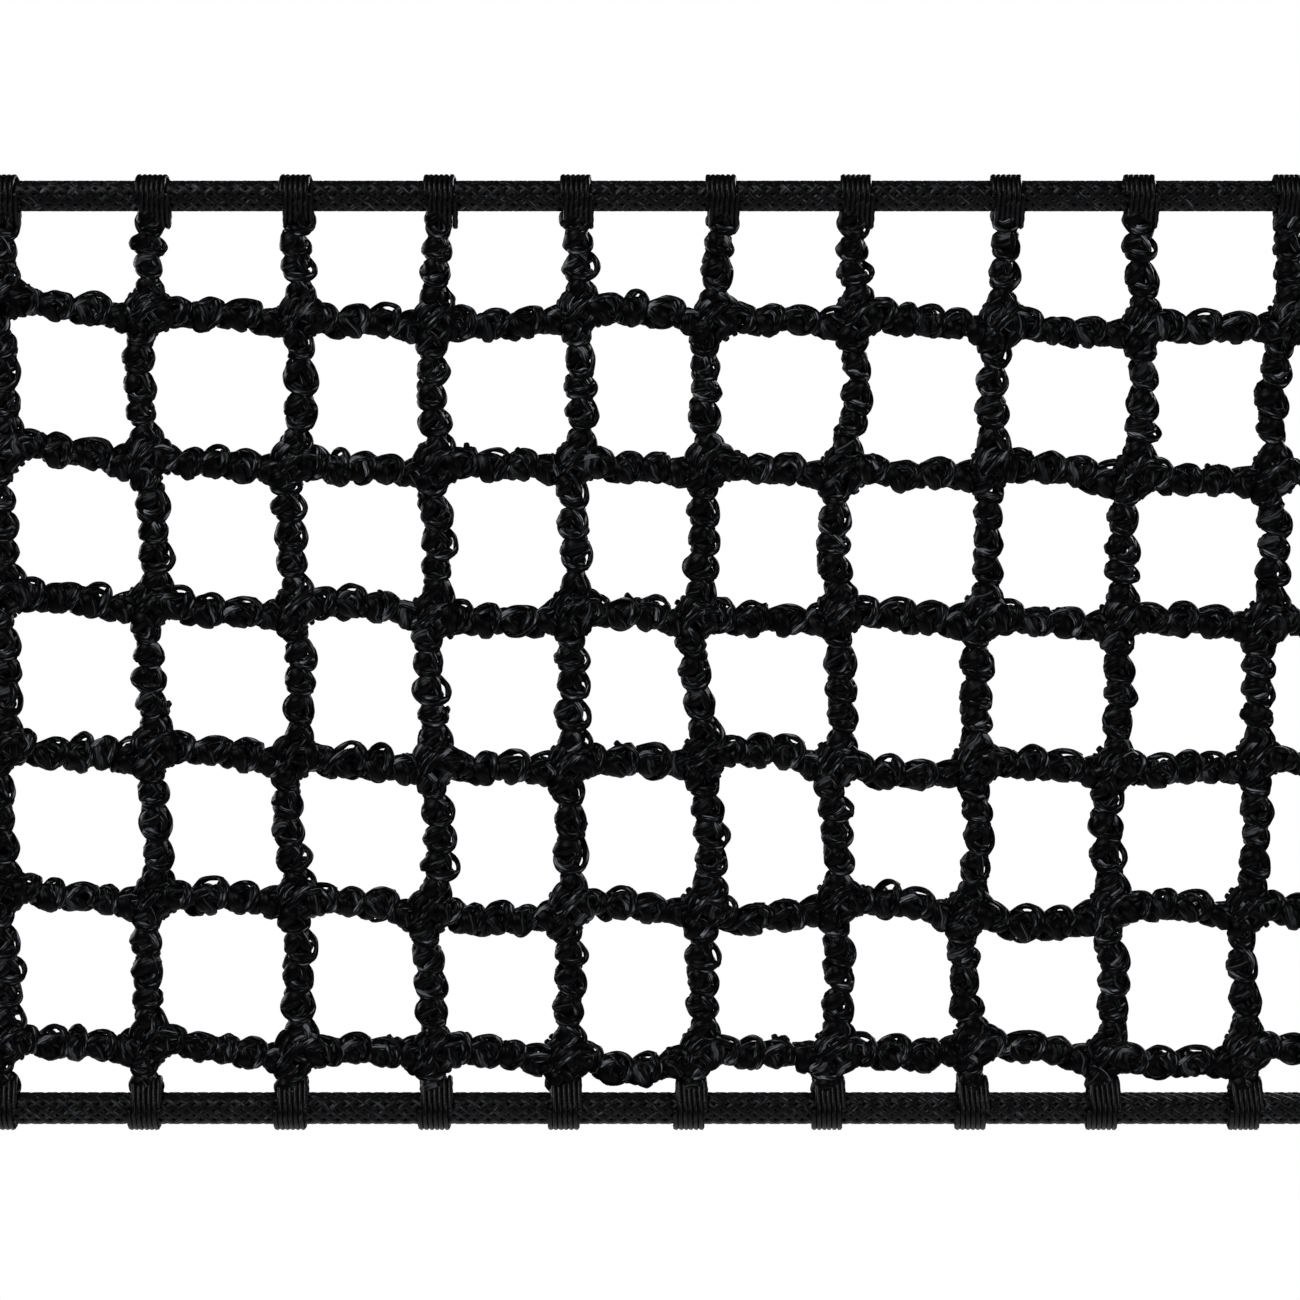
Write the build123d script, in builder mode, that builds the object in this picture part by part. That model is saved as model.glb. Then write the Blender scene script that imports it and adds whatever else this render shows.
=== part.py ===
from build123d import *
import os
from math import sqrt, sin, cos, asin, atan2, radians, hypot, pi

os.makedirs("parts", exist_ok=True)

# ---------------------------------------------------------------------------
# Cargo climbing net: one panel of knitted netting in a border rope.
# Millimetres, +Z up. The panel hangs in the XZ plane, and its front faces -Y.
# The origin is the centre of the top left eye, which the net hangs from.
# ---------------------------------------------------------------------------

# Driving dimensions
MESH = 44.45            # nominal mesh, bar to bar (1 3/4 in)
CORD_D = 9.2            # knitted cord, body of the chain
CROSSING_D = 15.2       # knitted crossing of two cords
ROPE_D = 10.0           # braided border rope
LASHING_D = 13.4        # outside of the lashing twine wound on the rope
LASHING_W = 11.0        # width of one lashing along the rope
RUN_TWINE_D = 2.2       # lashing twine between two lashings
PANEL_W = 431.6         # between the centre lines of the side ropes
PANEL_H = 284.2         # between the centre lines of the top and bottom ropes
EYE_OUT = 24.0          # corner of the border rope to the centre of its eye
EYE_ROPE_R = 15.0       # centre line of the rope round the thimble
NECK_ROPE_R = 12.0      # centre line of the rope where it turns into the eye
NECK_GAP = 0.3          # between the two legs of the rope in the neck
THIMBLE_BORE_R = 8.0
THIMBLE_W = 13.0
THIMBLE_FLANGE_R = 14.2
SEIZING_W = 8.0         # seizing along the neck
SEIZING_T = 1.5         # thickness of the twine wound on the neck
FOLD = 45.0             # the net folds this far, each way, at each gap
FOLD_CLEARANCE = 0.5    # least gap between the halves of a cord in a fold

CORD_R = CORD_D / 2
CROSSING_R = CROSSING_D / 2
ROPE_R = ROPE_D / 2
LASHING_R = LASHING_D / 2
RUN_TWINE_R = RUN_TWINE_D / 2

# Crossings: ten uprights by six rows, from the top left corner of the border
# rope's centre lines, X to the right and Z up. The knitted meshes are uneven.
JUNCTION_X = [
    [15.0, 60.1, 107.5, 149.6, 194.4, 236.8, 281.1, 326.2, 370.2, 416.0],
    [15.0, 59.5, 104.7, 149.6, 193.2, 234.6, 277.0, 323.1, 367.4, 410.7],
    [15.0, 61.1, 106.3, 148.9, 192.9, 230.9, 275.1, 320.0, 363.3, 408.2],
    [15.0, 61.7, 105.3, 149.3, 191.6, 233.1, 274.2, 318.1, 361.1, 405.7],
    [15.0, 62.3, 106.3, 148.0, 191.6, 233.1, 275.1, 315.3, 359.6, 402.6],
    [15.0, 61.4, 106.3, 149.3, 190.1, 232.1, 273.9, 317.2, 358.7, 402.0],
]
JUNCTION_Z = [
    [-31.8, -36.1, -37.7, -39.6, -36.1, -38.0, -37.4, -39.6, -40.5, -38.9],
    [-79.1, -81.6, -83.5, -84.1, -83.2, -83.8, -85.7, -84.4, -86.9, -86.6],
    [-124.6, -126.8, -127.8, -131.2, -129.3, -130.9, -130.2, -131.2, -131.8, -133.1],
    [-171.7, -172.3, -174.8, -176.7, -177.0, -175.1, -177.0, -176.7, -178.2, -175.4],
    [-216.3, -218.7, -219.4, -223.1, -221.5, -221.9, -219.7, -223.1, -222.2, -222.2],
    [-263.6, -263.3, -267.0, -267.0, -268.6, -266.4, -266.7, -264.2, -267.7, -266.1],
]
# How far each cord bows at its middle, upright cords in X and row cords in Z
UPRIGHT_BOW = [
    [0.9, -1.9, 2.2, -0.3, 1.9, -1.6, 1.2, -1.2, 1.6, -2.5],
    [-0.9, 1.9, -0.9, 1.6, 0.0, 0.6, -1.9, 0.6, -1.2, 2.2],
    [0.9, -0.3, 2.2, -0.9, 0.3, -0.6, 1.9, -0.9, 0.6, -0.9],
    [-0.6, 1.2, -1.6, 2.5, 0.3, 2.5, 0.0, 2.5, -1.2, 1.6],
    [0.9, -1.9, 1.9, 0.0, 1.2, 0.6, 1.2, -1.2, 2.5, -1.2],
]
ROW_BOW = [
    [-0.6, -0.3, 0.0, -1.9, 1.6, -0.9, 0.0, -1.6, -0.6],
    [1.2, -0.3, -0.6, 0.6, 0.0, 0.0, -1.2, 0.3, -1.6],
    [0.6, -1.9, 3.4, -1.6, 0.3, -1.2, 0.0, -0.6, 0.6],
    [-0.9, 1.2, -0.6, -0.9, 0.0, 2.8, -2.8, 0.6, -1.2],
    [-0.6, 0.9, 1.6, -2.8, 1.6, -3.7, 1.6, -3.7, 1.9],
    [-0.3, 0.0, 1.6, 1.2, -4.1, 0.3, -0.9, 1.2, -2.8],
]
# Where the cords' ends reach the border rope
TOP_TAIL_X = [15.0, 62.0, 106.6, 151.4, 193.8, 239.0, 281.1, 327.8, 369.2, 416.0]
BOTTOM_TAIL_X = [14.6, 59.5, 105.0, 149.9, 190.1, 229.0, 272.0, 316.6, 357.4, 401.7]
RIGHT_TAIL_Z = [-39.3, -87.2, -133.7, -176.1, -223.7, -266.7]
# Heights of the six lines that the net folds along
FOLD_Z = [-19.3, -60.8, -106.9, -152.4, -198.5, -243.7]

ROWS = len(JUNCTION_X)
COLS = len(JUNCTION_X[0])

# The top left corner of the border rope's centre lines, from the origin
CX = EYE_OUT / sqrt(2)
CZ = -EYE_OUT / sqrt(2)
LEFT_X, RIGHT_X = CX, CX + PANEL_W
TOP_Z, BOTTOM_Z = CZ, CZ - PANEL_H
fold_z = [CZ + z for z in FOLD_Z]


def junction(k, j):
    return (CX + JUNCTION_X[k][j], CZ + JUNCTION_Z[k][j])


def stand_off(r):
    """Height of a rounded end's centre over the fold line, so that the two
    halves of a cord of radius r stay clear of each other over the fold."""
    return (r + FOLD_CLEARANCE / 2) / cos(radians(FOLD / 2)) + 0.05


def fold_point(g, j):
    """Where upright j crosses fold line g (g = 0 is under the top rope)."""
    z = fold_z[g]
    if g == 0:
        (x1, z1), (x0, z0) = junction(0, j), (CX + TOP_TAIL_X[j], TOP_Z)
        t = (z0 - z) / (z0 - z1)
        return (x0 + t * (x1 - x0), z)
    (x0, z0), (x1, z1) = junction(g - 1, j), junction(g, j)
    t = (z0 - z) / (z0 - z1)
    return (x0 + t * (x1 - x0) + UPRIGHT_BOW[g - 1][j], z)


def axis_plane(p, q):
    """Plane through p with its local Y along the cord from p to q, and its
    local X along world Y; cord profiles are drawn on it and revolved."""
    length = hypot(q[0] - p[0], q[1] - p[1])
    dx, dz = (q[0] - p[0]) / length, (q[1] - p[1]) / length
    return Plane(origin=(p[0], 0, p[1]), x_dir=(0, 1, 0), z_dir=(dz, 0, -dx)), (dx, dz), length


def shorten_to_fold(p, q, r):
    """Distance along p to q at which a rounded end's centre sits, so that it
    stands stand_off(r) from the fold line through q."""
    length = hypot(q[0] - p[0], q[1] - p[1])
    return length * (1 - stand_off(r) / abs(q[1] - p[1]))


r = CORD_R
rim = sqrt(CROSSING_R**2 - CORD_R**2)   # where a cord meets its crossing
mid_u, mid_v = CROSSING_R * sin(asin(r / CROSSING_R) / 2), CROSSING_R * cos(asin(r / CROSSING_R) / 2)

made = []


def save(part, name):
    part.label = name
    export_step(part, f"parts/{name}.step")
    made.append(name)


# ---------------------------------------------------------------------------
# Upper halves of the uprights in the gap under the top rope (tails): from the
# lashings on the top rope down to the first fold line
# ---------------------------------------------------------------------------
with BuildPart() as uprights_gap_1_upper:
    for j in range(COLS):
        p, q = (CX + TOP_TAIL_X[j], TOP_Z), fold_point(0, j)
        plane, d, length = axis_plane(p, q)
        end = shorten_to_fold(p, q, r)
        with BuildSketch(plane):
            with BuildLine():
                l1 = Polyline((0, end + r), (0, 0), (r, 0), (r, end))
                l2 = ThreePointArc((r, end), (r / sqrt(2), end + r / sqrt(2)), (0, end + r))
            make_face()
        revolve(axis=Axis((p[0], 0, p[1]), (d[0], 0, d[1])))
    with Locations(((LEFT_X + RIGHT_X) / 2, 0, TOP_Z)):
        Cylinder(LASHING_R, PANEL_W + 20, rotation=(0, 90, 0), mode=Mode.SUBTRACT)
save(uprights_gap_1_upper.part, "uprights_gap_1_upper")

# ---------------------------------------------------------------------------
# Halves of the uprights that stand on a crossing and end at a fold line. Each
# starts in the crossing's round surface and ends in a half round
# ---------------------------------------------------------------------------


def half_uprights(k, g):
    """The ten halves from row k's crossings to fold line g."""
    with BuildPart() as halves:
        for j in range(COLS):
            p, q = junction(k, j), fold_point(g, j)
            plane, d, length = axis_plane(p, q)
            end = shorten_to_fold(p, q, r)
            with BuildSketch(plane):
                with BuildLine():
                    ThreePointArc((0, CROSSING_R), (mid_u, mid_v), (r, rim))
                    Line((r, rim), (r, end))
                    ThreePointArc((r, end), (r / sqrt(2), end + r / sqrt(2)), (0, end + r))
                    Line((0, end + r), (0, CROSSING_R))
                make_face()
            revolve(axis=Axis((p[0], 0, p[1]), (d[0], 0, d[1])))
    return halves


for k in range(ROWS):
    lower = half_uprights(k, k)
    save(lower.part, f"uprights_gap_{k + 1}_lower")
    if k < ROWS - 1:
        upper = half_uprights(k, k + 1)
        save(upper.part, f"uprights_gap_{k + 2}_upper")

# Tails under the last row, to the lashings on the bottom rope
with BuildPart() as upright_tails_bottom:
    for j in range(COLS):
        p, q = junction(ROWS - 1, j), (CX + BOTTOM_TAIL_X[j], BOTTOM_Z)
        plane, d, length = axis_plane(p, q)
        with BuildSketch(plane):
            with BuildLine():
                ThreePointArc((0, CROSSING_R), (mid_u, mid_v), (r, rim))
                Polyline((r, rim), (r, length), (0, length), (0, CROSSING_R))
            make_face()
        revolve(axis=Axis((p[0], 0, p[1]), (d[0], 0, d[1])))
    with Locations(((LEFT_X + RIGHT_X) / 2, 0, BOTTOM_Z)):
        Cylinder(LASHING_R, PANEL_W + 20, rotation=(0, 90, 0), mode=Mode.SUBTRACT)
save(upright_tails_bottom.part, "upright_tails_bottom")

# ---------------------------------------------------------------------------
# Row cords: the knitted cord across the panel, from crossing to crossing, each
# length one shallow arc; and the ten knitted crossings of the row
# ---------------------------------------------------------------------------
INTO = 3.0          # a length of cord stops this far from a crossing's centre
MOST_BOW = 1.5      # the plain solid takes up no more than this of the bow


def bay(a, b, bow):
    """End points and middle of a length of cord from a to b, bowed in Z."""
    bow = max(-MOST_BOW, min(MOST_BOW, bow))
    mid = ((a[0] + b[0]) / 2, 0, (a[1] + b[1]) / 2 + bow)
    return (a[0], 0, a[1]), mid, (b[0], 0, b[1])


def length_of_cord(p, q, p_butts=True, q_butts=True):
    """Straight length of cord from p to q. An end that butts on a crossing is
    hollowed to the crossing's round surface."""
    plane, d, length = axis_plane(p, q)
    with BuildPart() as piece:
        with BuildSketch(plane):
            with BuildLine():
                if p_butts:
                    ThreePointArc((0, CROSSING_R), (mid_u, mid_v), (r, rim))
                else:
                    Line((0, 0), (r, 0))
                Line((r, rim if p_butts else 0), (r, length - (rim if q_butts else 0)))
                if q_butts:
                    ThreePointArc((r, length - rim), (mid_u, length - mid_v), (0, length - CROSSING_R))
                else:
                    Line((r, length), (0, length))
                Line((0, length - (CROSSING_R if q_butts else 0)), (0, CROSSING_R if p_butts else 0))
            make_face()
        revolve(axis=Axis((p[0], 0, p[1]), (d[0], 0, d[1])))
    return piece


def bowed_length(p, q, bow):
    """Length of cord from crossing p to crossing q, bowed in Z."""
    span = q[0] - p[0]
    rise = (q[1] - p[1]) / span
    start, mid, end = bay((p[0] + INTO, p[1] + INTO * rise), (q[0] - INTO, q[1] - INTO * rise), bow)
    with BuildPart() as piece:
        with BuildLine() as centre:
            ThreePointArc(start, mid, end)
        with BuildSketch(Plane(origin=start, x_dir=(0, 1, 0), z_dir=centre.line % 0)):
            Circle(CORD_R)
        sweep()
        with Locations((p[0], 0, p[1]), (q[0], 0, q[1])):
            Sphere(CROSSING_R, rotation=(90, 0, 0), mode=Mode.SUBTRACT)
    return piece


hollow = pi * r**2 * rim + pi * (CROSSING_R - rim) ** 2 * (2 * CROSSING_R + rim) / 3

for k in range(ROWS):
    row_solids = []
    for j in range(COLS - 1):
        p, q = junction(k, j), junction(k, j + 1)
        straight = abs(ROW_BOW[k][j]) < 0.25
        piece = length_of_cord(p, q) if straight else bowed_length(p, q, ROW_BOW[k][j])
        volume = pi * r**2 * hypot(q[0] - p[0], q[1] - p[1]) - 2 * hollow
        assert abs(piece.part.volume - volume) < 0.02 * volume, (k, j, piece.part.volume, volume)
        row_solids += piece.part.solids()
    # the ends reach the side ropes, where they butt on the lashings
    for x, p, q, ends in ((LEFT_X, (LEFT_X, junction(k, 0)[1]), junction(k, 0), (False, True)),
                          (RIGHT_X, junction(k, COLS - 1), (RIGHT_X, CZ + RIGHT_TAIL_Z[k]), (True, False))):
        with BuildPart() as tail:
            add(length_of_cord(p, q, *ends).part)
            with Locations((x, 0, (TOP_Z + BOTTOM_Z) / 2)):
                Cylinder(LASHING_R, PANEL_H + 20, mode=Mode.SUBTRACT)
        row_solids += tail.part.solids()
    save(Compound(row_solids), f"row_cord_{k + 1}")

    with BuildPart() as crossings:
        with Locations(*[(junction(k, j)[0], 0, junction(k, j)[1]) for j in range(COLS)]):
            Sphere(CROSSING_R)
    save(crossings.part, f"crossings_row_{k + 1}")

# ---------------------------------------------------------------------------
# Border rope. At each corner it turns out into an eye round a thimble: a bend
# in the neck, a straight leg, 240 degrees round the thimble, and back
# ---------------------------------------------------------------------------
NECK_U = ROPE_R + NECK_GAP / 2 + NECK_ROPE_R      # neck bend's centre from the eye's axis
NECK_S = NECK_ROPE_R * sqrt(2) - NECK_U           # and from the corner, outwards
amp = hypot(EYE_OUT - NECK_S, NECK_U)
ALPHA = asin((EYE_ROPE_R + NECK_ROPE_R) / amp) - atan2(NECK_U, EYE_OUT - NECK_S)


def corner(cx, cz, sx, sz):
    """Points of the rope's centre line at the corner (cx, cz), whose outside
    is towards (sx, sz): from the side rope, round the eye, to the top or
    bottom rope. Also the outward direction and the sideways direction."""
    out = (sx / sqrt(2), sz / sqrt(2))
    side = (-sx / sqrt(2), sz / sqrt(2))

    def at(s, u):
        return (cx + s * out[0] + u * side[0], 0, cz + s * out[1] + u * side[1])

    back = (NECK_S + NECK_U) / 2
    t1 = (NECK_S - back, NECK_U - back)                       # leaves the straight rope
    nx, nz = -sin(ALPHA), cos(ALPHA)
    p1 = (NECK_S - NECK_ROPE_R * nx, NECK_U - NECK_ROPE_R * nz)   # end of the neck bend
    p2 = (EYE_OUT + EYE_ROPE_R * nx, EYE_ROPE_R * nz)             # start of the turn round the eye
    m = (-pi / 4 + ALPHA) / 2                                  # middle heading of the neck bend
    mid = (NECK_S + NECK_ROPE_R * sin(m), NECK_U - NECK_ROPE_R * cos(m))
    x_side = [at(*t1), at(*mid), at(*p1), at(*p2)]
    z_side = [at(t1[0], -t1[1]), at(mid[0], -mid[1]), at(p1[0], -p1[1]), at(p2[0], -p2[1])]
    far = at(EYE_OUT + EYE_ROPE_R, 0)
    return z_side, far, x_side, at, out, side


STRAIGHT_FROM = 13.0    # the rope is straight from here on, under its first lashing


def rope_eye(cx, cz, sx, sz, z_end):
    """One corner of the border rope: from the fold line at z_end along the
    side, round the eye, and on to the straight top or bottom length."""
    z_side, far, x_side = corner(cx, cz, sx, sz)[:3]
    with BuildPart() as eye:
        with BuildLine():
            Line((cx, 0, z_end), z_side[0])
            ThreePointArc(z_side[0], z_side[1], z_side[2])
            Line(z_side[2], z_side[3])
            ThreePointArc(z_side[3], far, x_side[3])
            Line(x_side[3], x_side[2])
            ThreePointArc(x_side[2], x_side[1], x_side[0])
            Line(x_side[0], (cx - sx * STRAIGHT_FROM, 0, cz))
        with BuildSketch(Plane(origin=(cx, 0, z_end), x_dir=(1, 0, 0), z_dir=(0, 0, sz))):
            Circle(ROPE_R)
        sweep()
        # rounded end at the fold line
        end = eye.edges().filter_by(GeomType.CIRCLE).filter_by(lambda e: abs(e.center().Z - z_end) < 0.01)
        fillet(end, ROPE_R - 0.1)
    return eye


rope_off = stand_off(ROPE_R)
top_end, bottom_end = fold_z[0] + rope_off - ROPE_R, fold_z[-1] - rope_off + ROPE_R
eyes = {}
for name, cx, cz, sx, sz, z_end in (
    ("top_left", LEFT_X, TOP_Z, -1, 1, top_end),
    ("top_right", RIGHT_X, TOP_Z, 1, 1, top_end),
    ("bottom_left", LEFT_X, BOTTOM_Z, -1, -1, bottom_end),
    ("bottom_right", RIGHT_X, BOTTOM_Z, 1, -1, bottom_end),
):
    eyes[name] = rope_eye(cx, cz, sx, sz, z_end)
    save(eyes[name].part, f"border_rope_eye_{name}")

with BuildPart() as border_rope_top:
    with BuildSketch(Plane(origin=(LEFT_X + STRAIGHT_FROM, 0, TOP_Z), x_dir=(0, 1, 0), z_dir=(1, 0, 0))):
        Circle(ROPE_R)
    extrude(amount=PANEL_W - 2 * STRAIGHT_FROM)
save(border_rope_top.part, "border_rope_top")

with BuildPart() as border_rope_bottom:
    with BuildSketch(Plane(origin=(LEFT_X + STRAIGHT_FROM, 0, BOTTOM_Z), x_dir=(0, 1, 0), z_dir=(1, 0, 0))):
        Circle(ROPE_R)
    extrude(amount=PANEL_W - 2 * STRAIGHT_FROM)
save(border_rope_bottom.part, "border_rope_bottom")

for k in range(ROWS - 1):
    low, high = fold_z[k + 1] + rope_off, fold_z[k] - rope_off
    for name, x in (("left", LEFT_X), ("right", RIGHT_X)):
        with BuildPart() as side_rope:
            with BuildSketch(Plane(origin=(x, 0, 0), x_dir=(1, 0, 0), z_dir=(0, -1, 0))):
                with BuildLine():
                    ThreePointArc((0, low - ROPE_R), (ROPE_R / sqrt(2), low - ROPE_R / sqrt(2)), (ROPE_R, low))
                    Line((ROPE_R, low), (ROPE_R, high))
                    ThreePointArc((ROPE_R, high), (ROPE_R / sqrt(2), high + ROPE_R / sqrt(2)), (0, high + ROPE_R))
                    Line((0, high + ROPE_R), (0, low - ROPE_R))
                make_face()
            revolve(axis=Axis((x, 0, 0), (0, 0, 1)))
        save(side_rope.part, f"border_rope_{name}_{k + 1}")

# ---------------------------------------------------------------------------
# Lashing twine: turns round the border rope at each cord's end. Along the top
# and bottom one twine runs behind the rope from lashing to lashing
# ---------------------------------------------------------------------------
run_y = (ROPE_R + RUN_TWINE_R + 0.05) / sqrt(2)


def rope_lashing(xs, z, up, ropes):
    with BuildPart() as lashing:
        with Locations(*[(x, 0, z) for x in xs]):
            Cylinder(LASHING_R, LASHING_W, rotation=(0, 90, 0))
        for rope in ropes:
            add(rope.part, mode=Mode.SUBTRACT)
        # the twine between two lashings ends 0.01 mm from both
        for x0, x1 in zip(xs[:-1], xs[1:]):
            with BuildSketch(Plane(origin=(x0 + LASHING_W / 2 + 0.01, run_y, z + up * run_y), x_dir=(0, 1, 0), z_dir=(1, 0, 0))):
                Circle(RUN_TWINE_R)
            extrude(amount=x1 - x0 - LASHING_W - 0.02)
    return lashing


lashing_top = rope_lashing([CX + x for x in TOP_TAIL_X], TOP_Z, 1,
                           (border_rope_top, eyes["top_left"], eyes["top_right"]))
save(lashing_top.part, "lashing_top")
lashing_bottom = rope_lashing([CX + x for x in BOTTOM_TAIL_X], BOTTOM_Z, -1,
                              (border_rope_bottom, eyes["bottom_left"], eyes["bottom_right"]))
save(lashing_bottom.part, "lashing_bottom")

for k in range(ROWS):
    ends = [(LEFT_X, junction(k, 0)[1]), (RIGHT_X, CZ + RIGHT_TAIL_Z[k])]
    if k == ROWS - 1:
        # the last row ties on above the corner's bend
        ends = [(x, max(z, BOTTOM_Z + NECK_ROPE_R + LASHING_W / 2 + 1)) for x, z in ends]
    with BuildPart() as side_lashing:
        with Locations(*[(x, 0, z) for x, z in ends]):
            Cylinder(LASHING_R, LASHING_W)
            Cylinder(ROPE_R, LASHING_W + 1, mode=Mode.SUBTRACT)
    save(side_lashing.part, f"lashing_sides_{k + 1}")

# ---------------------------------------------------------------------------
# Corner eyes: a round metal thimble, grooved for the rope, and a seizing
# round the two legs of the neck
# ---------------------------------------------------------------------------
groove_r = ROPE_R + 0.15
for name, cx, cz, sx, sz in (
    ("top_left", LEFT_X, TOP_Z, -1, 1),
    ("top_right", RIGHT_X, TOP_Z, 1, 1),
    ("bottom_left", LEFT_X, BOTTOM_Z, -1, -1),
    ("bottom_right", RIGHT_X, BOTTOM_Z, 1, -1),
):
    at, out, side = corner(cx, cz, sx, sz)[3:]
    ex, ey, ez = at(EYE_OUT, 0)
    half = THIMBLE_W / 2
    depth = EYE_ROPE_R - groove_r             # bottom of the groove
    lip = EYE_ROPE_R - THIMBLE_FLANGE_R
    y_lip = sqrt(groove_r**2 - lip**2)
    with BuildPart() as thimble:
        with BuildSketch(Plane(origin=(ex, 0, ez), x_dir=(1, 0, 0), z_dir=(0, 0, 1))):
            with BuildLine():
                Polyline((THIMBLE_FLANGE_R, -y_lip), (THIMBLE_FLANGE_R, -half), (THIMBLE_BORE_R, -half),
                         (THIMBLE_BORE_R, half), (THIMBLE_FLANGE_R, half), (THIMBLE_FLANGE_R, y_lip))
                ThreePointArc((THIMBLE_FLANGE_R, y_lip), (depth, 0), (THIMBLE_FLANGE_R, -y_lip))
            make_face()
        revolve(axis=Axis((ex, 0, ez), (0, 1, 0)))
        outer = thimble.edges().filter_by(GeomType.CIRCLE).filter_by(
            lambda e: abs(abs(e.center().Y) - half) < 0.01 and e.radius > THIMBLE_BORE_R + 1
        )
        fillet(outer, 0.45)
    save(thimble.part, f"thimble_{name}")

    with BuildPart() as seizing:
        with BuildSketch(Plane(origin=at(NECK_S - 1.5, 0), x_dir=(side[0], 0, side[1]), z_dir=(out[0], 0, out[1]))):
            SlotOverall(2 * (ROPE_D + NECK_GAP / 2 + 1.1 + SEIZING_T), ROPE_D + 2 * SEIZING_T)
        extrude(amount=SEIZING_W)
        add(eyes[name].part, mode=Mode.SUBTRACT)
    save(seizing.part, f"seizing_{name}")

print("nodes", len(made), "stand-off cord", round(stand_off(CORD_R), 3), "rope", round(rope_off, 3),
      "eye leg angle", round(ALPHA * 180 / pi, 1))
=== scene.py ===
import math
import bpy
import numpy as np
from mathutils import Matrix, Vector


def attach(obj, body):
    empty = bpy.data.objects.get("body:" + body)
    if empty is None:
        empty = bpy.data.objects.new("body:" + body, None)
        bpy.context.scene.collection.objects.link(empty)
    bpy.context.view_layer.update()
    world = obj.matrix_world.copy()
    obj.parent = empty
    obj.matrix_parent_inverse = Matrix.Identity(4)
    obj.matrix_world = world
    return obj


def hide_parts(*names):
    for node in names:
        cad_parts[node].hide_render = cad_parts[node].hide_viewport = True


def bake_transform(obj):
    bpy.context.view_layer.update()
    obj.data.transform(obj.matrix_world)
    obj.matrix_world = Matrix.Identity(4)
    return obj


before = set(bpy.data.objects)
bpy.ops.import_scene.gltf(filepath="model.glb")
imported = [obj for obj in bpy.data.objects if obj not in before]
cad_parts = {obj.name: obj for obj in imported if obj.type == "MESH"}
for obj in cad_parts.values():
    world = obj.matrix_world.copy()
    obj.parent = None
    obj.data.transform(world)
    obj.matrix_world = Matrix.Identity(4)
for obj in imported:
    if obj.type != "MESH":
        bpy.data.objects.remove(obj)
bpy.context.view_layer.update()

MM = 0.001

# ---------------------------------------------------------------------------
# Where things are, in millimetres, as in the CAD model
# ---------------------------------------------------------------------------
EYE_OUT = 24.0
CX, CZ = EYE_OUT / math.sqrt(2), -EYE_OUT / math.sqrt(2)
PANEL_W, PANEL_H = 431.6, 284.2
LEFT_X, RIGHT_X, TOP_Z, BOTTOM_Z = CX, CX + PANEL_W, CZ, CZ - PANEL_H
ROPE_R = 5.0
EYE_ROPE_R, NECK_ROPE_R, NECK_GAP = 15.0, 12.0, 0.3
JUNCTION_X = [
    [15.0, 60.1, 107.5, 149.6, 194.4, 236.8, 281.1, 326.2, 370.2, 416.0],
    [15.0, 59.5, 104.7, 149.6, 193.2, 234.6, 277.0, 323.1, 367.4, 410.7],
    [15.0, 61.1, 106.3, 148.9, 192.9, 230.9, 275.1, 320.0, 363.3, 408.2],
    [15.0, 61.7, 105.3, 149.3, 191.6, 233.1, 274.2, 318.1, 361.1, 405.7],
    [15.0, 62.3, 106.3, 148.0, 191.6, 233.1, 275.1, 315.3, 359.6, 402.6],
    [15.0, 61.4, 106.3, 149.3, 190.1, 232.1, 273.9, 317.2, 358.7, 402.0],
]
JUNCTION_Z = [
    [-31.8, -36.1, -37.7, -39.6, -36.1, -38.0, -37.4, -39.6, -40.5, -38.9],
    [-79.1, -81.6, -83.5, -84.1, -83.2, -83.8, -85.7, -84.4, -86.9, -86.6],
    [-124.6, -126.8, -127.8, -131.2, -129.3, -130.9, -130.2, -131.2, -131.8, -133.1],
    [-171.7, -172.3, -174.8, -176.7, -177.0, -175.1, -177.0, -176.7, -178.2, -175.4],
    [-216.3, -218.7, -219.4, -223.1, -221.5, -221.9, -219.7, -223.1, -222.2, -222.2],
    [-263.6, -263.3, -267.0, -267.0, -268.6, -266.4, -266.7, -264.2, -267.7, -266.1],
]
UPRIGHT_BOW = [
    [0.9, -1.9, 2.2, -0.3, 1.9, -1.6, 1.2, -1.2, 1.6, -2.5],
    [-0.9, 1.9, -0.9, 1.6, 0.0, 0.6, -1.9, 0.6, -1.2, 2.2],
    [0.9, -0.3, 2.2, -0.9, 0.3, -0.6, 1.9, -0.9, 0.6, -0.9],
    [-0.6, 1.2, -1.6, 2.5, 0.3, 2.5, 0.0, 2.5, -1.2, 1.6],
    [0.9, -1.9, 1.9, 0.0, 1.2, 0.6, 1.2, -1.2, 2.5, -1.2],
]
ROW_BOW = [
    [-0.6, -0.3, 0.0, -1.9, 1.6, -0.9, 0.0, -1.6, -0.6],
    [1.2, -0.3, -0.6, 0.6, 0.0, 0.0, -1.2, 0.3, -1.6],
    [0.6, -1.9, 3.4, -1.6, 0.3, -1.2, 0.0, -0.6, 0.6],
    [-0.9, 1.2, -0.6, -0.9, 0.0, 2.8, -2.8, 0.6, -1.2],
    [-0.6, 0.9, 1.6, -2.8, 1.6, -3.7, 1.6, -3.7, 1.9],
    [-0.3, 0.0, 1.6, 1.2, -4.1, 0.3, -0.9, 1.2, -2.8],
]
TOP_TAIL_X = [15.0, 62.0, 106.6, 151.4, 193.8, 239.0, 281.1, 327.8, 369.2, 416.0]
BOTTOM_TAIL_X = [14.6, 59.5, 105.0, 149.9, 190.1, 229.0, 272.0, 316.6, 357.4, 401.7]
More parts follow.
